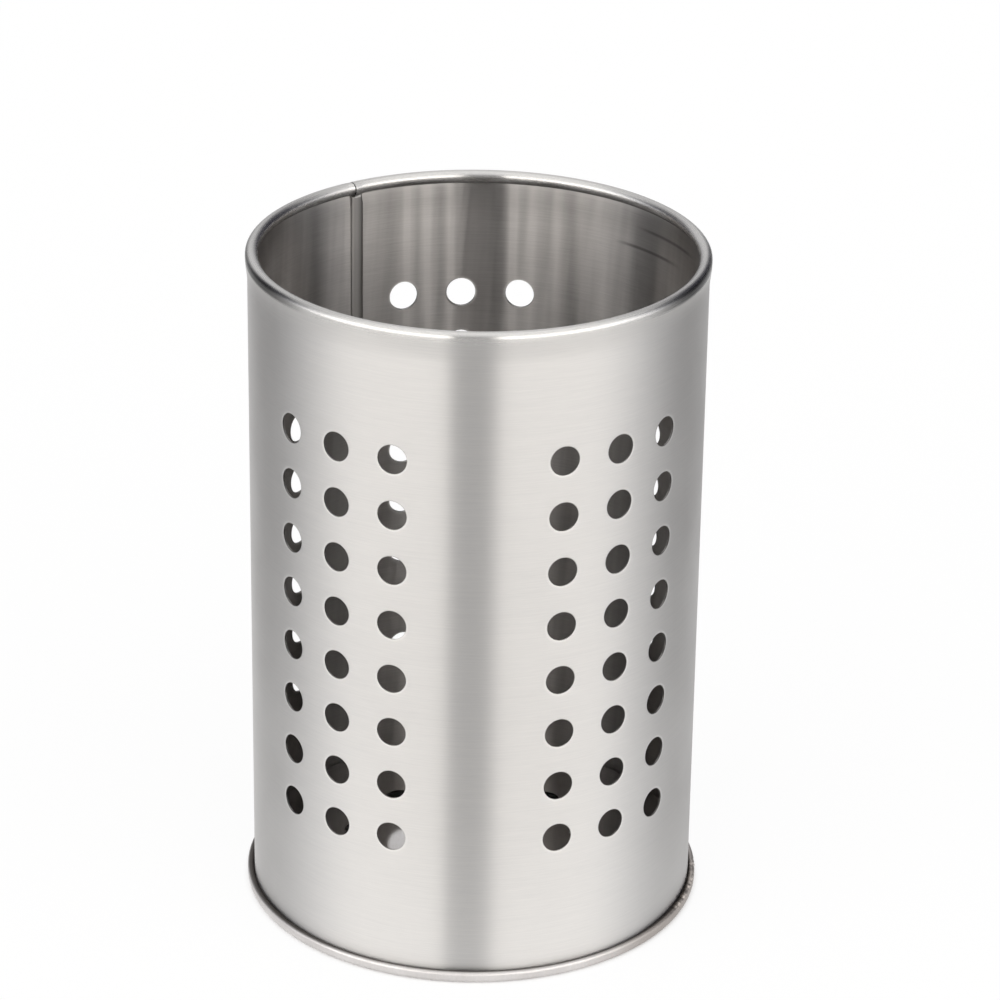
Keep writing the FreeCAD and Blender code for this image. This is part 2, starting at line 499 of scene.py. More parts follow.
def fold(piece, flat, x, y, z):
    """Moves the vertices of a flat sheet to their folded places, and keeps the flat places for its finish."""
    kept = piece.data.attributes.new("flat", "FLOAT_VECTOR", "POINT")
    kept.data.foreach_set("vector", flat.astype(np.float32).ravel())
    piece.data.vertices.foreach_set("co", np.stack([x, y, z], -1).astype(np.float32).ravel())
    piece.data.set_sharp_from_angle(angle=SHARP_EDGE)
    piece.data.update()


def smooth_step(values):
    """0 below 0 and 1 above 1, with a smooth step between them."""
    held = np.clip(values, 0, 1)
    return held * held * (3 - 2 * held)


# Pleats of the base seam: fullness, slant and sink, and their waves and changes as height, rate and shift
PLEAT_FULLNESS = 2.5
PLEAT_SLANT = 0.8
PLEAT_SINK = 0.4
PLEAT_WAVES = ((0.75, 1.0, 0.0), (0.4, 1.43, 1.3))
PLEAT_CHANGES = ((0.45, 2.3, 1.0), (0.3, 0.9, 0.0))
# How much of its sag the rolled rim also moves inwards
SAG_INWARD = 0.5


def pleated_part(sizes, angles):
    """How far angles, counted from the front, lie from the middle of the pleats, and how strong these are."""
    away = np.remainder(angles - sizes.pleat_angle + math.pi, math.tau) - math.pi
    return away, smooth_step(PLEAT_FULLNESS * (1 - np.abs(away) / sizes.pleat_spread))


def sum_of_waves(waves, phase):
    return sum(height * np.sin(phase * rate + shift) for height, rate, shift in waves)


# Wall

def wall_layout(sizes):
    """Lines and levels of the wall, worked out from its sizes in the way that the sheet is folded."""
    half = sizes.sheet / 2
    middle = sizes.wall_diameter / 2 - half
    seam_layer = sizes.sheet + sizes.base_seam_clearance
    hook_line = middle + 2 * seam_layer
    hook_bottom = half + seam_layer
    hook_tip = hook_bottom + seam_layer + sizes.base_seam_overlap
    bead = sizes.rim_bead / 2 - half
    rim_out = middle + sizes.rim_stand_out
    rim_in = rim_out - 2 * bead
    rim_top = sizes.height - half
    rim_bottom = rim_top - 2 * bead
    neck = sizes.height - sizes.rim_bead - sizes.rim_neck
    profile = BentLine(
        [
            (hook_line, hook_tip),
            (hook_line, hook_bottom),
            (middle, hook_bottom),
            (middle, neck),
            (rim_out, neck + sizes.rim_neck),
            (rim_out, rim_top),
            (rim_in, rim_top),
            (rim_in, rim_bottom),
            (rim_out - half - sizes.lock_clearance, rim_bottom),
        ],
        [seam_layer, seam_layer, sizes.rim_neck_bend, sizes.rim_neck_bend, bead, bead, bead],
    )
    layer = sizes.sheet + sizes.lock_clearance
    lock_width = sizes.lock_overlap + 3 * layer + sizes.sheet
    left = half - lock_width / 2
    step = lock_width / 2 - half
    right = step - layer
    turn = math.tau * middle
    plan = BentLine(
        [
            (right - layer, layer),
            (left, layer),
            (left, 3 * layer),
            (step, 3 * layer),
            (step, 0),
            (turn + right, 0),
            (turn + right, 2 * layer),
            (turn + left + layer, 2 * layer),
        ],
        [layer, layer, sizes.lock_step_bend, sizes.lock_step_bend, layer, layer],
    )
    wall_run = 2
    tube_run = 4
    strip_start, strip_end, tube_start = plan.run_starts[tube_run - 2 : tube_run + 1]
    sheet_start = step + sizes.lock_step_bend
    sheet_end = turn + right - layer
    wall_foot = profile.run_starts[wall_run] - hook_bottom - seam_layer
    group_step = (math.tau - sizes.lock_gap_angle) / (sizes.hole_groups - 1)
    top_row = sizes.height - sizes.top_row_drop
    bottom_row = top_row - (sizes.hole_rows - 1) * sizes.hole_row_pitch
    return SimpleNamespace(
        profile=profile,
        plan=plan,
        middle=middle,
        plan_start=sheet_start - tube_start,
        sheet_start=sheet_start,
        sheet_end=sheet_end,
        rim_start=right - layer + sizes.rim_joint_shift + sizes.rim_joint_gap,
        strip_start=sheet_start - tube_start + strip_start,
        strip_end=sheet_start - tube_start + strip_end,
        left_flap=tube_start,
        right_flap=plan.length - tube_start - (sheet_end - sheet_start),
        column_pitch=sizes.hole_column_pitch * middle / (middle + half),
        first_group=(sizes.lock_gap_angle / 2 + sizes.lock_off_centre) * middle,
        group_step=group_step * middle,
        hook_bottom=hook_bottom,
        hook_bend_end=profile.run_starts[wall_run - 1],
        hook_top=profile.run_starts[wall_run],
        lock_bottom=wall_foot + sizes.floor_height + sizes.lock_end_gap,
        holes_bottom=wall_foot + bottom_row - sizes.hole_row_pitch / 2,
        holes_top=wall_foot + top_row + sizes.hole_row_pitch / 2,
        lock_top=wall_foot + neck + sizes.rim_neck - sizes.lock_end_gap,
        lock_step=step,
        lock_width=lock_width,
        turn=turn,
        neck_start=profile.run_starts[wall_run + 1],
        rim_outside=profile.run_starts[wall_run + 2],
        rim_end=profile.length,
        bead_across=(rim_out + rim_in) / 2,
        bead_up=(rim_top + rim_bottom) / 2,
    )


def punched_cell(draw, given):
    """A cell of the flat sheet with a round hole in its middle: rings that widen from circle to oblong."""
    sides, rings = 4, 3
    across, up, _ = draw.mesh_place()
    quarter = (0.5 - across) * sides
    ring = (up + 0.5) * rings
    turned = quarter * (math.tau / sides)
    side_x = (abs(quarter % sides - 2) * 2 - 2).clamp(-1, 1) * given.column_pitch * 0.5
    side_y = (abs((quarter - 1) % sides - 2) * 2 - 2).clamp(-1, 1) * given.hole_row_pitch * 0.5
    rolled = ring.clamp(0, 1)
    rubbed = (ring - 1).clamp(0, 1)
    outer = (ring - 2).clamp(0, 1)
    inner = 1 - outer
    beyond = given.edge_roll * rolled + given.edge_halo * rubbed
    radius = given.hole_diameter * 0.5 + beyond
    place = draw.vector(
        turned.math("COSINE", turned) * radius * inner + side_x * outer,
        turned.math("SINE", turned) * radius * inner + side_y * outer,
        given.edge_depth * (rolled - 1),
    )
    # How near a point lies to the hole across the polished ring, whose colour holds a painted sheen
    rubbed_edge = 1 - beyond / (given.edge_roll + given.edge_halo)
    settings = {"data_type": "FLOAT", "domain": "POINT"}
    cell = draw.grid(given.cell_steps * sides, rings)
    sockets = {"Geometry": cell, "Name": "rubbed_edge", "Value": rubbed_edge}
    return draw.reshape(draw.node("GeometryNodeStoreNamedAttribute", settings, sockets), place)


def wall_blank_tree(values):
    """The wall as a flat sheet with its holes: X runs round the holder and Y up it."""
    tree, draw, given = geometry_tree("wall_blank", values)

    def panel(left, right, columns, bottom, top, rows):
        middle = draw.vector((left + right) * 0.5, (bottom + top) * 0.5, 0)
        return draw.shift(draw.grid(columns, rows, right - left, top - bottom), middle)

    def strip(left, right, columns, bands):
        return [panel(left, right, columns, *band) for band in bands]

    def at_groups(parts, first, number):
        start = draw.vector(first, 0, 0)
        step = draw.vector(given.group_step, 0, 0)
        sockets = {"Count": number, "Start Location": start, "Offset": step}
        line = draw.node("GeometryNodeMeshLine", {"mode": "OFFSET"}, sockets)
        return draw.copies(line, draw.join(parts))

    hook = (given.hook_top * 0, given.hook_top, HOOK_ROWS)
    foot = (given.hook_top, given.lock_bottom, FOOT_ROWS)
    low = (given.lock_bottom, given.holes_bottom, PLAIN_ROWS)
    holes = (given.holes_bottom, given.holes_top, given.hole_rows * given.cell_steps)
    high = (given.holes_top, given.lock_top, NECK_ROWS)
    rim = (given.lock_top, given.rim_end, RIM_ROWS)
    bands = [hook, foot, low, holes, high, rim]
    plain = [hook, foot, low, high, rim]
    locked = [low, holes, high]

    group_half = given.column_pitch * given.hole_columns * 0.5
    gap_half = given.group_step * 0.5 - group_half
    column_steps = given.hole_columns - 1
    row_steps = given.hole_rows - 1
    hole_places = draw.grid(
        column_steps, row_steps, column_steps * given.column_pitch, row_steps * given.hole_row_pitch
    )
    hole_middle = draw.vector(0, (given.holes_bottom + given.holes_top) * 0.5, 0)
    cells = draw.copies(draw.shift(hole_places, hole_middle), punched_cell(draw, given))
    group = [cells, *strip(group_half * -1, group_half, given.hole_columns * given.cell_steps, plain)]
    gap = strip(gap_half * -1, gap_half, GAP_COLUMNS, bands)
    first = given.first_group
    last = first + (given.hole_groups - 1) * given.group_step
    start = given.sheet_start
    end = given.sheet_end
    ramp_end = start + given.lock_ramp_reach
    rim_row = (given.rim_end - given.lock_top) * (1 / RIM_ROWS)
    foot_row = (given.lock_bottom - given.hook_top) * (1 / FOOT_ROWS)
    joint = [
        hook,
        (foot[0], foot[1] - foot_row, FOOT_ROWS - 1),
        (rim[0] + rim_row * JOINT_SLIT_ROWS, rim[1], RIM_ROWS - JOINT_SLIT_ROWS),
    ]
    parts = [
        at_groups(group, first, given.hole_groups),
        at_groups(gap, first + given.group_step * 0.5, given.hole_groups - 1),
        *strip(start, ramp_end, RAMP_COLUMNS, bands),
        *strip(ramp_end, first - group_half, START_COLUMNS, bands),
        *strip(last + group_half, end, END_COLUMNS, bands),
        *strip(start - given.left_flap, start, FLAP_COLUMNS, locked),
        *strip(end, end + given.right_flap, FLAP_COLUMNS, locked),
        *strip(given.rim_start, start, JOINT_COLUMNS, joint),
        *strip(end, end + given.rim_joint_shift, JOINT_COLUMNS, joint),
    ]
    thicken(draw, draw.real(draw.join(parts)), given.sheet, given.material)
    return tree


def fold_wall(piece, sizes, wall):
    """Rolls the flat wall to a tube, hooks its two edges into each other and rolls its rim."""
    flat = read_points(piece)
    along, climb, out = flat.T
    across, up, left_across, left_up = wall.profile.at(climb)
    beyond = across - wall.middle - out * left_across
    z = up - out * left_up

    slit = (wall.rim_end - wall.lock_top) * JOINT_SLIT_ROWS / RIM_ROWS / 2
    in_lock = (climb > wall.lock_bottom - slit) & (climb < wall.lock_top + slit)
    flap = in_lock & ((along < wall.sheet_start - TINY) | (along > wall.sheet_end + TINY))
    plan_along, plan_in, left_along, left_in = wall.plan.at(along - wall.plan_start)
    along_wall = np.where(flap, plan_along - beyond * left_along, along)
    turned = sizes.lock_angle + along_wall / wall.middle
    _, pleated = pleated_part(sizes, turned)
    pressed_down = sizes.hook_crush * pleated * (up - wall.hook_bottom)
    z = z - np.where(climb < wall.hook_bend_end, pressed_down, 0)

    in_turn = np.remainder(along_wall + wall.turn / 2, wall.turn) - wall.turn / 2
    to_round_edge = np.clip((wall.lock_step - in_turn) / wall.lock_width, 0, 1)
    pressed = sizes.lock_press * (1 - sizes.lock_droop * to_round_edge**2)
    inward = np.where(flap, (plan_in - beyond * left_in) * pressed, -beyond)
    beside = np.clip(1 - (along - wall.sheet_start) / sizes.lock_ramp_reach, 0, 1)
    above_floor = smooth_step(1 + (climb - wall.lock_bottom) / (sizes.floor_edge_radius + sizes.lock_end_gap))
    inward = inward + np.where(flap, 0, sizes.lock_ramp * beside**2 * above_floor)

    joint = 1 - (wall.sheet_end + sizes.rim_joint_shift - along) / sizes.rim_joint_reach
    rolled = smooth_step((climb - wall.rim_outside) / (wall.rim_end - wall.rim_outside) * 2)
    sag = (sizes.rim_sag + sizes.rim_joint_swell * smooth_step(joint)) * rolled
    bead_in = wall.middle - wall.bead_across
    reach = np.hypot(inward - bead_in, z - wall.bead_up) + TINY
    inward = inward + SAG_INWARD * sag * np.maximum(inward - bead_in, 0) / reach
    z = z + sag * np.minimum(z - wall.bead_up, 0) / reach

    radius = wall.middle - inward
    fold(piece, flat, radius * np.sin(turned), -radius * np.cos(turned), z)


# What the blank of the wall needs to know of the sizes and of the layout
WALL_SIZES = (
    "hole_row_pitch", "hole_diameter", "edge_roll", "edge_halo", "edge_depth", "lock_ramp_reach",
    "rim_joint_shift", "sheet", "hole_columns", "hole_rows", "hole_groups",
)
WALL_LINES = (
    "column_pitch", "first_group", "group_step", "sheet_start", "sheet_end", "rim_start", "left_flap",
    "right_flap", "hook_top", "lock_bottom", "holes_bottom", "holes_top", "lock_top", "rim_end",
)


class HOLDER_OT_punched_wall(bpy.types.Operator):
    """Punches the wall's flat sheet, rolls it to a tube and folds its lock seam, rim and base hook"""

    bl_idname = "holder.punched_wall"
    bl_label = "Punched wall"

    def execute(self, context):
        sizes = context.scene.holder_sizes
        wall = wall_layout(sizes)
        values = {
            **picked(sizes, WALL_SIZES),
            **picked(wall, WALL_LINES),
            "cell_steps": CELL_STEPS,
            "material": brushed_steel(context.scene.holder_finish, wall),
        }
        piece = plain_mesh("punched_wall", wall_blank_tree(values), values)
        fold_wall(piece, sizes, wall)
        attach(piece, "root")
        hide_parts("wall_sheet")
        return {"FINISHED"}


# Base

def base_line(sizes):
    """Middle line of the pressed base from the middle of its floor to the tip of its hook."""
    half = sizes.sheet / 2
    middle = sizes.wall_diameter / 2 - half
    layer = sizes.sheet + sizes.base_seam_clearance
    chuck = middle - layer
    outer = middle + 3 * layer
    hook = middle + layer
    bottom = half
    hook_tip = bottom + 2 * layer
    top = hook_tip + sizes.base_seam_overlap + layer
    floor = sizes.floor_height - half
    foot_bend = (outer - chuck - sizes.foot_width) / 2
    return BentLine(
        [
            (0, floor),
            (chuck, floor),
            (chuck, bottom),
            (outer, bottom),
            (outer, top),
            (hook, top),
            (hook, hook_tip),
        ],
        [sizes.floor_edge_radius - half, foot_bend, foot_bend, layer, layer],
    )


def base_blank_tree(values):
    """The base as a flat round sheet with its drain holes."""
    tree, draw, given = geometry_tree("base_blank", values)

    def circle(steps, radius):
        sockets = {"Resolution": steps, "Radius": radius}
        return draw.node("GeometryNodeCurvePrimitiveCircle", {"mode": "RADIUS"}, sockets)

    def crowded(turned, radius):
        """A place at an angle that is drawn towards the pleats, so that columns of faces crowd there."""
        offset = turned - given.crowd_angle
        moved = turned - offset.math("SINE", offset) * given.crowding
        return draw.vector(moved.math("COSINE", moved) * radius, moved.math("SINE", moved) * radius, 0)

    def ring(inner, outer, rows):
        across, up, _ = draw.mesh_place()
        place = crowded((0.5 - across) * math.tau, inner + (outer - inner) * (up + 0.5))
        return draw.reshape(draw.grid(given.around, rows), place)

    x, y, _ = draw.mesh_place()
    disc_place = crowded(x.math("ARCTAN2", y, x), given.floor_disc)
    disc_edge = draw.reshape(circle(given.around, given.floor_disc), disc_place)
    sockets = {"Vertices": given.drain_holes, "Radius": given.drain_ring * 0.5}
    ring_places = draw.node("GeometryNodeMeshCircle", {}, sockets)
    sockets = {"Geometry": ring_places, "Rotation": draw.vector(0, 0, given.first_drain)}
    turned_ring = draw.node("GeometryNodeTransform", {}, sockets)
    middle = draw.node("GeometryNodePoints", {}, {"Count": 1})
    drain = circle(DRAIN_STEPS, given.drain_diameter * 0.5)
    drains = [draw.copies(places, drain) for places in (turned_ring, middle)]
    outlines = draw.real(draw.join([disc_edge, *drains]))
    parts = [
        draw.node("GeometryNodeFillCurve", {"mode": "TRIANGLES"}, {"Curve": outlines}),
        ring(given.floor_disc, given.bend_radius, FLOOR_ROWS),
        ring(given.bend_radius, given.blank_radius, SEAM_ROWS),
    ]
    thicken(draw, draw.join(parts), given.sheet, given.material)
    return tree


def fold_base(piece, sizes, line):
    """Presses the flat base into a pan and folds its edge up round the wall's hook, with pleats in it."""
    flat = read_points(piece)
    spread = np.hypot(flat[:, 0], flat[:, 1])
    turned = np.arctan2(flat[:, 1], flat[:, 0])
    across, up, left_across, left_up = line.at(spread)
    outer_run, top_run, hook_run = 3, 4, 5
    from_pleats, pleated = pleated_part(sizes, turned + math.pi / 2)
    slant = PLEAT_SLANT * (up - sizes.floor_height / 4)
    phase = (from_pleats * across + slant) / sizes.pleat_pitch
    uneven = 1 + sum_of_waves(PLEAT_CHANGES, phase)
    ripple = sum_of_waves(PLEAT_WAVES, phase * math.tau) - PLEAT_SINK
    outside, top, hook = (line.run_starts[run] for run in (outer_run, top_run, hook_run))
    rising = smooth_step((spread - outside) / (top - outside))
    falling = 1 - smooth_step((spread - top) / (hook - top))
    pleat = sizes.pleat_depth * uneven * ripple * pleated * rising * falling
    radius = across + (flat[:, 2] - pleat) * left_across
    z = up + (flat[:, 2] - pleat) * left_up
    fold(piece, flat, radius * np.cos(turned), radius * np.sin(turned), z)


class HOLDER_OT_pressed_base(bpy.types.Operator):
    """Punches the base's flat disc, presses its floor and folds the double seam round the wall's edge"""

    bl_idname = "holder.pressed_base"
    bl_label = "Pressed base"

    def execute(self, context):
        sizes = context.scene.holder_sizes
        line = base_line(sizes)
        chuck_run = 1
        values = {
            **picked(sizes, ("floor_disc", "drain_diameter", "drain_ring", "drain_holes", "sheet")),
            "bend_radius": line.run_starts[chuck_run] - 2 * sizes.floor_edge_radius,
            "blank_radius": line.length,
            "first_drain": sizes.drain_first_angle - math.pi / 2,
            "crowd_angle": sizes.pleat_angle - math.pi / 2,
            "crowding": COLUMN_CROWDING,
            "around": BASE_COLUMNS,
            "material": bright_steel(context.scene.holder_finish, sizes),
        }
        piece = plain_mesh("pressed_base", base_blank_tree(values), values)
        fold_base(piece, sizes, line)
        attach(piece, "root")
        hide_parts("base_pan")
        return {"FINISHED"}


# Finishes

# Painted upright streaks inside, of reflected light where bright and of shade where dark: degrees from the
# rear towards +X, half width, and how bright
PAINTED_INSIDE_STREAKS = (
    (-59.5, 4.5, 0.25),
    (-47.5, 5.0, -0.5),
    (-24.5, 4.5, -0.35),
    (-19.4, 1.7, 0.5),
    (-16.6, 1.4, -0.3),
    (-13.8, 2.2, 0.65),
    (-10.4, 1.6, -0.3),
    (-7.6, 1.9, 0.75),
    (5.0, 3.0, -0.5),
    (8.9, 2.2, 0.8),
    (14.0, 2.4, 0.4),
    (20.8, 2.2, 0.4),
    (25.0, 3.2, -0.65),
    (34.0, 3.0, 0.3),
    (48.0, 8.0, -0.6),
)
# How clear those streaks are low down, and how uneven and how bright the inside is under them, low down and
# high up
STREAKS_LOW = 0.25
LOW_UNEVENNESS = 3.0
UNEVENNESS_LOSS = 1.4
LOW_BRIGHTNESS = 0.8
LOW_BRIGHTNESS_LOSS = 0.3
WAVE_LEAN = 9
WAVE_RISE = 6
# Short painted dark rings inside, on the +X side, for the reflection of the rim: height, and the places in X
# where each begins and ends
RIM_REFLECTION_RINGS = (
    (0.1707, (0.041, 0.046), (0.053, 0.056)),
    (0.1651, (0.035, 0.041), (0.048, 0.053)),
)
# Edges of the marks on the wall, most of them painted shade and reflection, in metres: where each mark begins
# to change and where the change is full
STREAKS_CLEAR = (0.115, 0.150)
LOW_HEIGHTS = (0.125, 0.150)
LOW_SIDES = (0.026, 0.040)
RING_WIDTH = (0.0001, 0.0007)
INNER_FACE = (-0.0002, 0.0)
CUT_FACE = (0.00017, 0.00024)
RIM_LINE_WIDTH = (0.0005, 0.0015)
RIM_ENDS = (0.040, 0.0545)
ROLLED_UNDER = (0.0040, 0.0053)
RIM_LINE = 0.0003
TOP_SHADE = 0.012
# Shares of the width of the lock strip
STRIP_END_FADE = 0.2
STRIP_EDGE_FADE = 0.45
# Colours of the marks, and how strong each is: painted shade, painted reflection and painted sheen, but for
# the dull cut face
INSIDE_SHADE_COLOUR = (0.08, 0.076, 0.073)
EDGE_SHEEN_COLOUR = (0.8, 0.79, 0.77)
RIM_SHADE_COLOUR = (0.025, 0.025, 0.026)
ROLLED_SHADE_COLOUR = (0.09, 0.087, 0.084)
TOP_SHADE_COLOUR = (0.2, 0.195, 0.19)
LOW_SHADE_MIX = 0.5
RING_REFLECTION_MIX = 0.6
EDGE_SHEEN = 0.3
STRIP_EDGE_SHADE = 0.48
ROLLED_SHADE = 0.8
TOP_SHADE_MIX = 0.4
CUT_DULLNESS = 0.85
# The brushing: how its signals are mixed, and what they do to the roughness and to the relief
FACES_APART = 1000
FINE_ALONG = 4
FINE_UP = 3
FINE_SHARE = 0.35
GRAIN_CONTRAST = 1.6
SMUDGE_CONTRAST = 0.35
INNER_STREAKS = 0.8
INNER_GRAIN = 0.5
INNER_LOSS = 0.15
GRAIN_ROUGHNESS = 0.12
SMUDGE_ROUGHNESS = 0.1
EDGE_POLISH = 0.04
GRAIN_DEPTH = 0.000004
BRUSHED_ROUND = 0.25
# The base: patches and scratches per metre, and the edges of its seam and groove in metres and degrees
PATCHES = (90, 90, 90)
SCRATCHES = (2500, 160, 900)
PATCH_CONTRAST = 1.4
SCRATCH_CONTRAST = 0.4
BASE_DULLNESS = 0.4
SEAM_INSIDE = (0.0575, 0.0585)
GROOVE_EDGE = (0.0595, 0.0603)
GROOVE_HEIGHT = (0.0012, 0.0022)
GROOVE_RIGHT = (72, 86)
GROOVE_LEFT = (15, 55)
GROOVE_RIGHT_LOSS = 0.0007
GROOVE_LEFT_GAIN = 0.0004
GROOVE_SHADE_MIX = 0.9
WORN_REACH = 3
WORN_END = (-0.6, -0.1)
WORN_SHARE = 0.75
PATCH_ROUGHNESS = 0.06
SCRATCH_ROUGHNESS = 0.03
SCRATCH_DEPTH = 0.00003
SCRATCH_STRENGTH = 0.08


def new_finish(name):
    """An empty material with a drawing of its nodes."""
    material = bpy.data.materials.new(name)
    material.use_nodes = True
    material.node_tree.nodes.clear()
    return material, Drawing(material.node_tree)


def close_finish(draw, shader):
    draw.node("ShaderNodeOutputMaterial", {}, {"Surface": shader})


def from_axis(x, y):
    """Distance from the axis of the holder."""
    square = x * x + y * y
    return square.math("SQRT", square)


def from_front(x, y):
    """Angle about the axis, counted from the front towards +X."""
    return x.math("ARCTAN2", x, y * -1)


def painted_inside_streaks(x, y, z, waves):
    """How bright the painted upright streaks of reflected light and shade inside are: clear high up, and
    uneven and brighter low down.
    """
    high_up = z.ease(*STREAKS_CLEAR) * (1 - STREAKS_LOW) + STREAKS_LOW
    streaks = (waves - 0.5) * (LOW_UNEVENNESS - high_up * UNEVENNESS_LOSS) + LOW_BRIGHTNESS - high_up * LOW_BRIGHTNESS_LOSS
    round_rear = x.math("ARCTAN2", x, y)
    for degrees, half_width, strength in PAINTED_INSIDE_STREAKS:
        away = abs(round_rear - math.radians(degrees))
        streaks = streaks + (1 - away.ease(0, math.radians(half_width))) * high_up * strength
    return streaks.clamp(0, 1)


def inside_painted_shade(x, z):
    """How strong the painted shade inside is: at the sides low down, and along some short rings of painted
    dark reflection of the rim.
    """
    painted_shade = (1 - z.ease(*LOW_HEIGHTS)) * abs(x).ease(*LOW_SIDES) * LOW_SHADE_MIX
    for height, start, end in RIM_REFLECTION_RINGS:
        ring = (1 - abs(z - height).ease(*RING_WIDTH)) * x.between(start, end)
        painted_shade = painted_shade + ring * RING_REFLECTION_MIX
    return painted_shade


def brushed_steel(finish, wall):
    """Steel brushed round the holder: fine strokes along the sheet, faint smudges and polished hole edges,
    with painted sheen, painted reflections and painted shade in its colour.
    """
    material, draw = new_finish("brushed_steel")
    along, up, out = draw.parts(draw.node("ShaderNodeAttribute", {"attribute_name": "flat"}, {}, "Vector"))
    edge = draw.node("ShaderNodeAttribute", {"attribute_name": "rubbed_edge"}, {}, "Fac")
    x, y, z = draw.object_place()

    def marks(rate_along, rate_up, detail, roughness):
        return draw.noise(draw.vector(along * rate_along, up * rate_up, out * FACES_APART), detail, roughness)

    strokes = marks(1 / finish.stroke_length, 1 / finish.stroke_width, detail=3, roughness=0.65)
    fine = marks(FINE_ALONG / finish.stroke_length, FINE_UP / finish.stroke_width, detail=2, roughness=0.5)
    smudge = marks(1 / finish.smudge_size, 1 / finish.smudge_size, detail=3, roughness=0.55)
    wave_place = draw.vector(along * (1 / finish.streak_width) + up * WAVE_LEAN, up * WAVE_RISE, 0)
    waves = draw.noise(wave_place, detail=3, roughness=0.6)
    grain = strokes * (1 - FINE_SHARE) + fine * FINE_SHARE
    shine = ((grain - 0.5) * GRAIN_CONTRAST + 0.5 + (smudge - 0.5) * SMUDGE_CONTRAST).clamp(0, 1)
    streaks = painted_inside_streaks(x, y, z, waves)
    inner_shine = (streaks * INNER_STREAKS + shine * INNER_GRAIN - INNER_LOSS).clamp(0, 1)

    inside = 1 - out.ease(*INNER_FACE)
    outer = draw.mix(shine, finish.wall_dark, finish.wall_light)
    # Painted light: the inside colour follows painted upright streaks of reflected light and shade
    bright_inner = draw.mix(inner_shine, finish.inside_dark, finish.inside_light)
    # Painted shade low at the sides inside, and painted dark reflections of the rim in short rings
    inner = draw.mix(inside_painted_shade(x, z), bright_inner, INSIDE_SHADE_COLOUR)
    # Painted sheen in the colour of the polished ring round each hole
    rubbed = draw.mix(edge * EDGE_SHEEN, draw.mix(inside, outer, inner), EDGE_SHEEN_COLOUR)
    rim = up.ease(wall.neck_start, wall.rim_outside)

    # Painted shade on the folded strip of the lock seam, darkest at its round edge
    strip_width = wall.strip_end - wall.strip_start
    on_strip = along.between(
        (wall.strip_start - strip_width, wall.strip_start),
        (wall.strip_end, wall.strip_end + STRIP_END_FADE * strip_width),
    )
    to_edge = 1 - along.ease(wall.strip_start, wall.strip_start + STRIP_EDGE_FADE * strip_width)
    strip = draw.mix(to_edge * STRIP_EDGE_SHADE, finish.lock_shade, finish.cut_and_shade_colour)
    past_rim = up - wall.rim_outside
    # Painted shade in the hollow under the rim, at the left and right sides only
    rim_line = (1 - abs(past_rim - RIM_LINE).ease(*RIM_LINE_WIDTH)) * abs(x).ease(*RIM_ENDS) * (1 - inside)
    # Painted shade inside, just under the rim
    top_inside = inside * (1 - rim) * up.ease(wall.lock_top - TOP_SHADE, wall.lock_top)
    cut = 1 - abs(out).ease(*CUT_FACE)
    steel = draw.mix(rim, rubbed, outer)
    for mask, tint in (
        (on_strip * (1 - rim), strip),
        (rim_line * finish.rim_shade, RIM_SHADE_COLOUR),
        # Painted shade on the lower, inward side of the rolled rim
        (past_rim.ease(*ROLLED_UNDER) * ROLLED_SHADE, ROLLED_SHADE_COLOUR),
        (top_inside * TOP_SHADE_MIX, TOP_SHADE_COLOUR),
        (cut * CUT_DULLNESS, finish.cut_and_shade_colour),
    ):
        steel = draw.mix(mask, steel, tint)

    mean_roughness = finish.wall_roughness + rim * (finish.rim_roughness - finish.wall_roughness)
    uneven = (grain - 0.5) * GRAIN_ROUGHNESS + (smudge - 0.5) * SMUDGE_ROUGHNESS - edge * EDGE_POLISH
    relief = grain * GRAIN_DEPTH + waves * inside * finish.wave_depth
    bump = draw.node("ShaderNodeBump", {}, {"Strength": 1.0, "Distance": 1.0, "Height": relief})
    sockets = {
        "Base Color": steel,
        "Metallic": 1.0,
        "Roughness": mean_roughness + uneven,
        "Anisotropic": finish.wall_anisotropy,
        "Anisotropic Rotation": BRUSHED_ROUND,
        "Normal": bump,
    }
    close_finish(draw, draw.node("ShaderNodeBsdfPrincipled", {}, sockets))
    return material


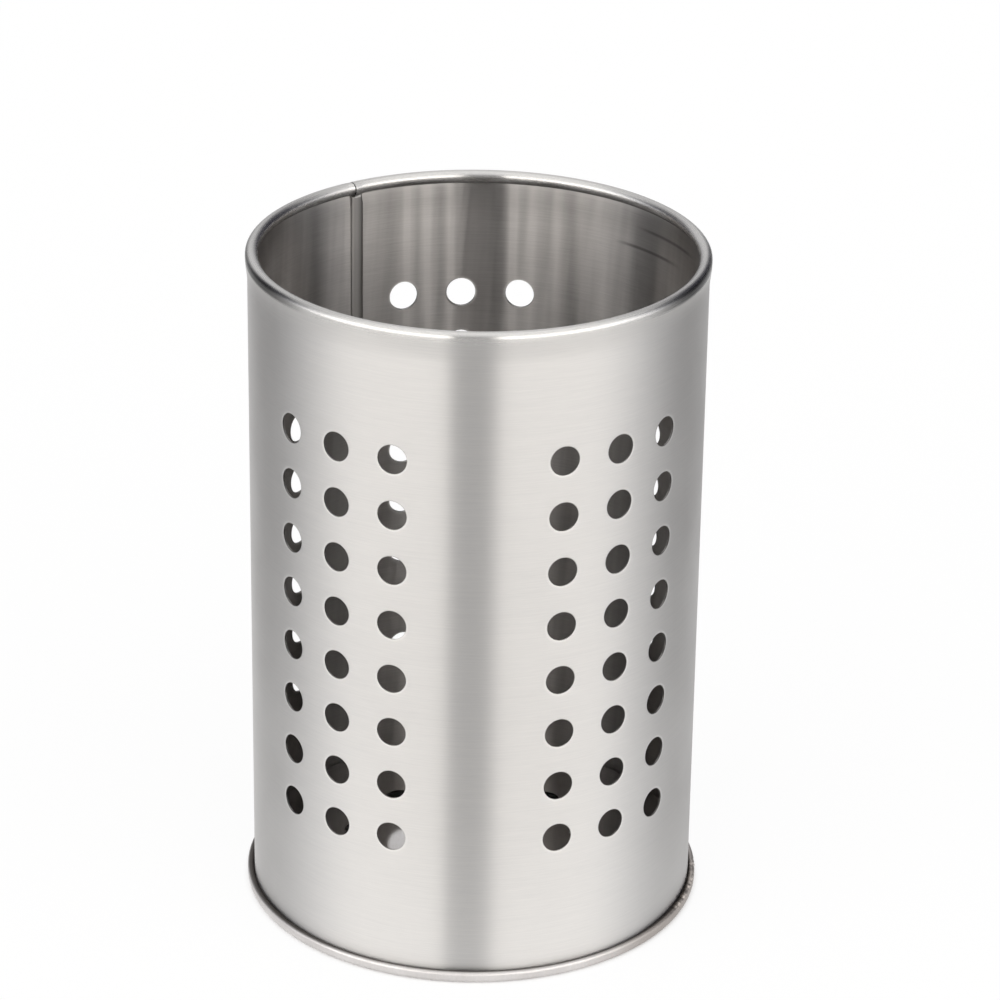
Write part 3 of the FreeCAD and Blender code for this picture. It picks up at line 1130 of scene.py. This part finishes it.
def bright_steel(finish, sizes):
    """Bright rolled steel with rubbed patches, fine scratches, a worn seam and painted shade in the groove
    beside it.
    """
    material, draw = new_finish("bright_steel")
    x, y, z = draw.object_place()

    def marks(rates, detail, roughness):
        return draw.noise(draw.vector(x * rates[0], y * rates[1], z * rates[2]), detail, roughness)

    patches = marks(PATCHES, detail=4, roughness=0.6)
    scratches = marks(SCRATCHES, detail=2, roughness=0.5)
    dull = (patches - 0.5) * PATCH_CONTRAST + BASE_DULLNESS + (scratches - 0.5) * SCRATCH_CONTRAST
    steel = draw.mix(dull.clamp(0, 1), finish.base_light, finish.base_dark)
    radius = from_axis(x, y)
    seam = radius.ease(*SEAM_INSIDE)
    turned = from_front(x, y)
    right = turned.ease(*map(math.radians, GROOVE_RIGHT))
    left = (turned * -1).ease(*map(math.radians, GROOVE_LEFT))
    # Painted shade in the groove between the base seam and the wall, wider on the left and narrower at the
    # right end
    groove_side = radius + right * GROOVE_RIGHT_LOSS - left * GROOVE_LEFT_GAIN
    groove = seam * (1 - groove_side.ease(*GROOVE_EDGE)) * z.ease(*GROOVE_HEIGHT)
    before = sizes.pleat_angle - turned
    worn_front = 1 - before.ease(sizes.pleat_spread, sizes.pleat_spread * WORN_REACH)
    worn = seam * worn_front * before.ease(*WORN_END)
    browned = draw.mix(worn * WORN_SHARE, steel, finish.worn_colour)
    groove_shaded = draw.mix(groove * GROOVE_SHADE_MIX, browned, finish.groove_shade_colour)
    mean_roughness = finish.base_roughness + seam * (finish.seam_roughness - finish.base_roughness)
    roughness = mean_roughness + (patches - 0.5) * PATCH_ROUGHNESS + (scratches - 0.5) * SCRATCH_ROUGHNESS
    sockets = {"Strength": SCRATCH_STRENGTH, "Distance": SCRATCH_DEPTH, "Height": scratches}
    bump = draw.node("ShaderNodeBump", {}, sockets)
    sockets = {"Base Color": groove_shaded, "Metallic": 1.0, "Roughness": roughness, "Normal": bump}
    close_finish(draw, draw.node("ShaderNodeBsdfPrincipled", {}, sockets))
    return material


# Stage

# Sines of the heights between which the gap, the rear panel and the ceiling get their full strength
GAP_RISE = (0.05, 0.3)
REAR_RISE = (0.05, 0.35)
CEILING_RISE = (0.75, 0.95)
REAR_LOW = 0.5
WHITE = (1, 1, 1)


def pale_floor(stage):
    """A pale floor, white round and behind the holder, that keeps a faint shadow."""
    material, draw = new_finish("pale_floor")
    x, y, _ = draw.object_place()
    beyond = abs(x) - y * stage.white_spread - stage.white_half_width
    beside = 1 - beyond.ease(0, stage.white_fade)
    before = y.ease(-stage.white_front - stage.white_fade, -stage.white_front)
    paper = beside * before
    outside = from_axis(x, y).ease(stage.shade_radius - stage.shade_fade, stage.shade_radius)
    rays = draw.node("ShaderNodeLightPath", {}, {})
    seen = rays.output("Is Camera Ray") + rays.output("Is Glossy Ray") + rays.output("Is Transmission Ray")
    tint = draw.mix(paper, stage.floor_colour, stage.white_colour)
    matt = draw.node("ShaderNodeBsdfDiffuse", {}, {"Color": tint})
    white = draw.node("ShaderNodeEmission", {}, {"Color": (*WHITE, 1), "Strength": 1})
    glow = seen.clamp(0, 1) * paper * outside * stage.floor_glow
    close_finish(draw, draw.node("ShaderNodeMixShader", {}, {0: glow, 1: matt, 2: white}))
    return material


def studio_world(stage):
    """A studio round the holder: a bright panel on each side, a dark gap between them and a pale ceiling."""
    world = bpy.data.worlds.new("studio")
    bpy.context.scene.world = world
    world.use_nodes = True
    world.node_tree.nodes.clear()
    draw = Drawing(world.node_tree)
    x, y, z = draw.parts(draw.node("ShaderNodeTexCoord", {}, {}, "Generated"))
    turned = from_front(x, y)
    sideways = abs(turned) + z * stage.panel_lean
    side = 1 - sideways.ease(stage.panel_inner, stage.panel_outer)
    gap = turned.between(
        (stage.gap_start, stage.gap_start + stage.gap_start_fade),
        (stage.gap_end - stage.gap_end_fade, stage.gap_end),
    )
    deep_gap = gap * (1 - (1 - z.ease(*GAP_RISE)) * stage.gap_low)
    tint = draw.mix(side, stage.panel_edge_colour, stage.panel_colour)
    front = draw.mix(side * (1 - deep_gap), stage.shade_colour, tint)
    rear = (turned * -1).ease(stage.rear_start, stage.rear_start + stage.rear_fade) + turned.ease(
        stage.rear_end, stage.rear_end + stage.rear_fade
    )
    rear_share = rear * (z.ease(*REAR_RISE) * (1 - REAR_LOW) + REAR_LOW)
    panels = draw.mix(rear_share, front, stage.rear_colour)
    front_high = z.ease(stage.panel_fade_start, stage.panel_fade_end)
    side_high = z.ease(stage.side_fade_start, stage.side_fade_end)
    high = front_high + (side_high - front_high) * abs(turned).ease(stage.side_start, stage.side_end)
    ceiling = draw.mix(z.ease(*CEILING_RISE), stage.ceiling_edge, WHITE)
    lit = draw.node("ShaderNodeBackground", {}, {"Color": panels, "Strength": stage.studio_level})
    above = draw.node("ShaderNodeBackground", {}, {"Color": ceiling, "Strength": stage.ceiling_level})
    both = draw.node("ShaderNodeMixShader", {}, {0: high, 1: lit, 2: above})
    draw.node("ShaderNodeOutputWorld", {}, {"Surface": both})


def place_floor(stage):
    half = stage.floor_size / 2
    corners = [(-half, -half), (half, -half), (half, half), (-half, half)]
    mesh = bpy.data.meshes.new("floor")
    mesh.from_pydata([(x, y, -stage.floor_drop) for x, y in corners], [], [range(len(corners))])
    mesh.materials.append(pale_floor(stage))
    floor = bpy.data.objects.new("floor", mesh)
    bpy.context.scene.collection.objects.link(floor)


def place_camera(stage):
    """A camera that looks along a yaw and a pitch, turned by its roll."""
    data = bpy.data.cameras.new("camera")
    data.lens = stage.camera_lens
    camera = bpy.data.objects.new("camera", data)
    turns = ((-stage.camera_yaw, "Z"), (math.pi / 2 - stage.camera_pitch, "X"), (stage.camera_roll, "Z"))
    place = Matrix.Translation(stage.camera_place)
    for turn, axis in turns:
        place = place @ Matrix.Rotation(turn, 4, axis)
    camera.matrix_world = place
    bpy.context.scene.collection.objects.link(camera)
    bpy.context.scene.camera = camera


class HOLDER_OT_stage(bpy.types.Operator):
    """Sets the pale floor, the studio light and the camera"""

    bl_idname = "holder.stage"
    bl_label = "Stage"

    def execute(self, context):
        stage = context.scene.holder_stage
        context.scene.view_settings.view_transform = "Standard"
        place_floor(stage)
        studio_world(stage)
        place_camera(stage)
        return {"FINISHED"}


# Panel and registration

OPERATORS = (HOLDER_OT_stage, HOLDER_OT_punched_wall, HOLDER_OT_pressed_base)
GROUPS = {"holder_sizes": HolderSizes, "holder_finish": HolderFinish, "holder_stage": HolderStage}


class HOLDER_PT_sidebar(bpy.types.Panel):
    """Lists the sizes, the finish, the stage and the steps"""

    bl_idname = "HOLDER_PT_sidebar"
    bl_label = "Utensil holder"
    bl_space_type = "VIEW_3D"
    bl_region_type = "UI"
    bl_category = "Holder"

    def draw(self, context):
        for operator in OPERATORS:
            self.layout.operator(operator.bl_idname)
        for name, group in GROUPS.items():
            column = self.layout.column(align=True)
            for one in group.__annotations__:
                column.prop(getattr(context.scene, name), one, text=one.replace("_", " ").capitalize())


CLASSES = (*GROUPS.values(), *OPERATORS, HOLDER_PT_sidebar)


def register():
    for one in CLASSES:
        bpy.utils.register_class(one)
    for name, group in GROUPS.items():
        setattr(bpy.types.Scene, name, PointerProperty(type=group))


def unregister():
    for name in GROUPS:
        delattr(bpy.types.Scene, name)
    for one in reversed(CLASSES):
        bpy.utils.unregister_class(one)


def main():
    register()
    bpy.ops.holder.stage()
    bpy.ops.holder.punched_wall()
    bpy.ops.holder.pressed_base()


if __name__ == "__main__":
    main()
